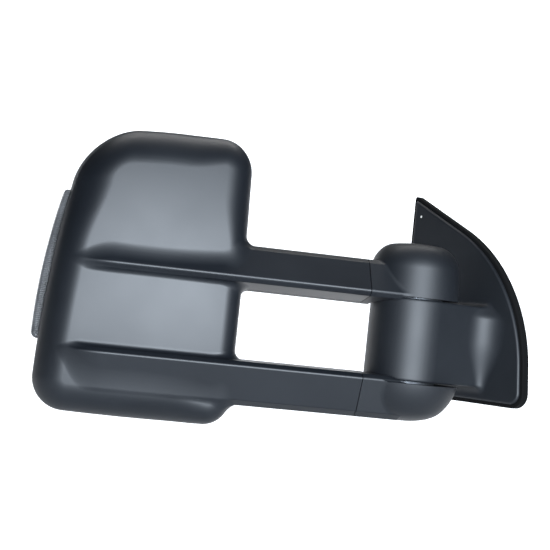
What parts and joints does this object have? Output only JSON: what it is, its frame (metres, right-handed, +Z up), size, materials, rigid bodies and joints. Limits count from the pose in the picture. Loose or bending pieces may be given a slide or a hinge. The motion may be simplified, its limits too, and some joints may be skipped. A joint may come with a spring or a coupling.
{
  "type": "towing mirror",
  "caption": "Telescoping door-mounted towing mirror: tall glass head on two sliding arms that fold about a vertical barrel on a triangular door base.",
  "frame": {"origin": "on the door-side mounting face, level with the middle of the hinge barrel and straight behind the fold axis", "axes": "+Z up, +X from the mirror head towards the truck, -Y towards the truck's nose"},
  "size_m": [0.5309, 0.1687, 0.2991],
  "materials": {
    "cap_plastic": "fine-grained moulded texture, soft sheen",
    "cover_plastic": "fine-grained moulded texture, soft sheen",
    "bezel_plastic": "fine-grained moulded texture",
    "frame_plastic": "plain moulded, satin",
    "white_plastic": "plain moulded bearing plastic",
    "gasket_rubber": "soft matt",
    "die_cast": "as cast, satin",
    "rail_steel": "black e-coat, semi-gloss",
    "bright_steel": "zinc plated",
    "spring_steel": "oiled",
    "lens_smoke": "smoked, fine ribs",
    "board_green": "solder mask",
    "led_amber": "amber moulding",
    "mirror_silver": "first-surface bright",
    "film_grey": "printed foil",
    "lead_sheath": "matt sheath"
  },
  "bodies": {
    "base": {"base_gasket": "gasket_rubber", "base_cover": "cover_plastic", "base_frame": "die_cast", "base_screws": "bright_steel", "mounting_studs": "bright_steel", "locating_clip": "white_plastic", "harness_grommet": "gasket_rubber", "upper_pivot_bushing": "white_plastic", "lower_pivot_bushing": "white_plastic", "detent_track": "bright_steel"},
    "arm": {"pivot_tube": "bright_steel", "upper_knuckle": "die_cast", "lower_knuckle": "die_cast", "upper_arm_rail": "rail_steel", "lower_arm_rail": "rail_steel", "detent_balls": "bright_steel", "rail_bolts": "bright_steel", "rail_end_stops": "white_plastic", "spring_washer": "bright_steel", "pivot_spring": "spring_steel", "pivot_nut": "bright_steel", "upper_knuckle_cover": "cover_plastic", "lower_knuckle_cover": "cover_plastic"},
    "head": {"front_housing": "cap_plastic", "rear_housing": "bezel_plastic", "head_frame": "frame_plastic", "slide_bushings": "white_plastic", "frame_screws": "bright_steel", "housing_screws": "bright_steel", "lamp_lens": "lens_smoke", "lamp_housing": "bezel_plastic", "lamp_board": "board_green", "lamp_leds": "led_amber", "actuator_case": "frame_plastic", "actuator_lid": "frame_plastic", "actuator_screws": "bright_steel", "drive_motors": "bright_steel", "spotter_mount": "frame_plastic", "head_connector": "frame_plastic", "actuator_lead": "lead_sheath", "lamp_lead": "lead_sheath"},
    "main_pan_ring": {"main_gimbal_ring": "white_plastic"},
    "main_glass_unit": {"main_glass_carrier": "frame_plastic", "main_heater_film": "film_grey", "main_glass": "mirror_silver"},
    "spotter_pan_ring": {"spotter_gimbal_ring": "white_plastic"},
    "spotter_glass_unit": {"spotter_glass_carrier": "frame_plastic", "spotter_heater_film": "film_grey", "spotter_glass": "mirror_silver"},
    "pan_jack": {"pan_spindle": "white_plastic"},
    "tilt_jack": {"tilt_spindle": "white_plastic"},
    "pan_wheel": {"pan_gear": "white_plastic"},
    "tilt_wheel": {"tilt_gear": "white_plastic"}
  },
  "joints": [
    {"name": "fold", "type": "hinge", "parent": "base", "child": "arm", "pos_m": [-0.07275, -0.042, 0], "axis": [0, 0, 1], "range_deg": [-50, 60]},
    {"name": "extend", "type": "slide", "parent": "arm", "child": "head", "axis": [-1, 0, 0], "range_m": [0, 0.09]},
    {"name": "main_pan", "type": "hinge", "parent": "head", "child": "main_pan_ring", "pos_m": [-0.35975, -0.006, 0.086], "axis": [0, 0, 1], "range_deg": [-8, 8]},
    {"name": "main_tilt", "type": "hinge", "parent": "main_pan_ring", "child": "main_glass_unit", "pos_m": [-0.35975, -0.006, 0.086], "axis": [1, 0, 0], "range_deg": [-8, 8]},
    {"name": "spotter_pan", "type": "hinge", "parent": "head", "child": "spotter_pan_ring", "pos_m": [-0.35975, -0.006, -0.059], "axis": [0, 0, 1], "range_deg": [-8, 8]},
    {"name": "spotter_tilt", "type": "hinge", "parent": "spotter_pan_ring", "child": "spotter_glass_unit", "pos_m": [-0.35975, -0.006, -0.059], "axis": [1, 0, 0], "range_deg": [-8, 8]},
    {"name": "pan_drive", "type": "slide", "parent": "head", "child": "pan_jack", "axis": [0, -1, 0], "range_m": [-0.00476, 0.00476]},
    {"name": "tilt_drive", "type": "slide", "parent": "head", "child": "tilt_jack", "axis": [0, 1, 0], "range_m": [-0.00476, 0.00476]},
    {"name": "pan_wheel_spin", "type": "hinge", "parent": "head", "child": "pan_wheel", "pos_m": [-0.39375, -0.0265, 0.086], "axis": [0, 1, 0], "range_deg": [-285.8, 285.8]},
    {"name": "tilt_wheel_spin", "type": "hinge", "parent": "head", "child": "tilt_wheel", "pos_m": [-0.35975, -0.0265, 0.052], "axis": [0, 1, 0], "range_deg": [-285.8, 285.8]}
  ],
  "couplings": [
    {"joint": "pan_drive", "follows": "main_pan", "m_per_rad": 0.034},
    {"joint": "tilt_drive", "follows": "main_tilt", "m_per_rad": 0.034},
    {"joint": "pan_wheel_spin", "follows": "main_pan", "ratio": 35.605},
    {"joint": "tilt_wheel_spin", "follows": "main_tilt", "ratio": 35.605}
  ]
}
